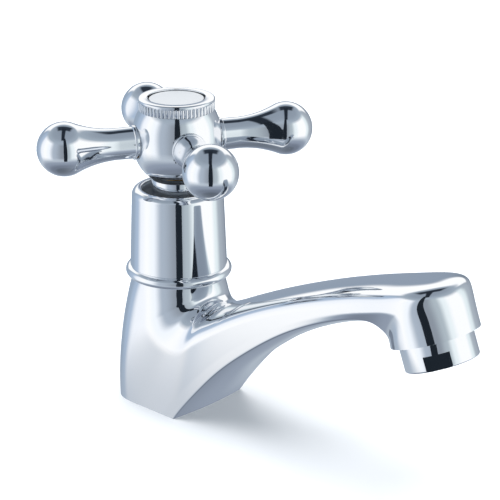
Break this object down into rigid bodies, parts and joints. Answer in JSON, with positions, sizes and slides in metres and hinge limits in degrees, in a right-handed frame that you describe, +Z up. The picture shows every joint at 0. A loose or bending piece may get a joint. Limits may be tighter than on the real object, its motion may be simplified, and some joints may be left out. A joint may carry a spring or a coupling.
{
  "type": "basin pillar tap",
  "caption": "Single-feed deck-mounted basin tap with a cross handle, a rising arched spout and a threaded tail below the deck.",
  "frame": {"origin": "centre of the base's seating plane on the deck, on the valve axis", "axes": "+X runs along the spout, +Z is up along the valve axis, +Y follows by the right-hand rule"},
  "size_m": [0.1729, 0.0884, 0.1635],
  "materials": {
    "polished_chrome": "mirror-polished chrome plate on cast or turned brass",
    "index_enamel": "satin pale enamel",
    "brass": "turned, unplated",
    "black_rubber": "moulded, matt",
    "alumina_ceramic": "lapped alumina ceramic",
    "acetal_plastic": "moulded natural acetal",
    "insert_plastic": "moulded grey plastic",
    "stainless_steel": "stamped or turned stainless steel"
  },
  "bodies": {
    "tap": {"body": "polished_chrome", "headwork_body": "brass", "headwork_seal": "black_rubber", "seat_seal": "black_rubber", "ceramic_disc_fixed": "alumina_ceramic", "thrust_washer": "acetal_plastic", "bell_shroud": "polished_chrome", "aerator_housing": "polished_chrome", "aerator_gasket": "black_rubber", "aerator_insert": "insert_plastic", "aerator_screen": "stainless_steel", "tail": "brass", "tail_seal": "black_rubber", "base_gasket": "black_rubber", "rubber_washer": "black_rubber", "fixing_washer": "stainless_steel", "backnut": "brass"},
    "handle": {"handle_hub": "polished_chrome", "arm_1": "polished_chrome", "arm_2": "polished_chrome", "arm_3": "polished_chrome", "arm_4": "polished_chrome", "index_ring": "polished_chrome", "index_plate": "index_enamel", "handle_screw": "stainless_steel", "screw_washer": "stainless_steel", "spline_bush": "acetal_plastic", "spindle": "brass", "spindle_orings": "black_rubber", "spindle_circlip": "stainless_steel", "ceramic_disc_rotor": "alumina_ceramic"}
  },
  "joints": [
    {"name": "handle_turn", "type": "hinge", "parent": "tap", "child": "handle", "pos_m": [0, 0, 0.0966], "axis": [0, 0, 1], "range_deg": [0, 90]}
  ]
}
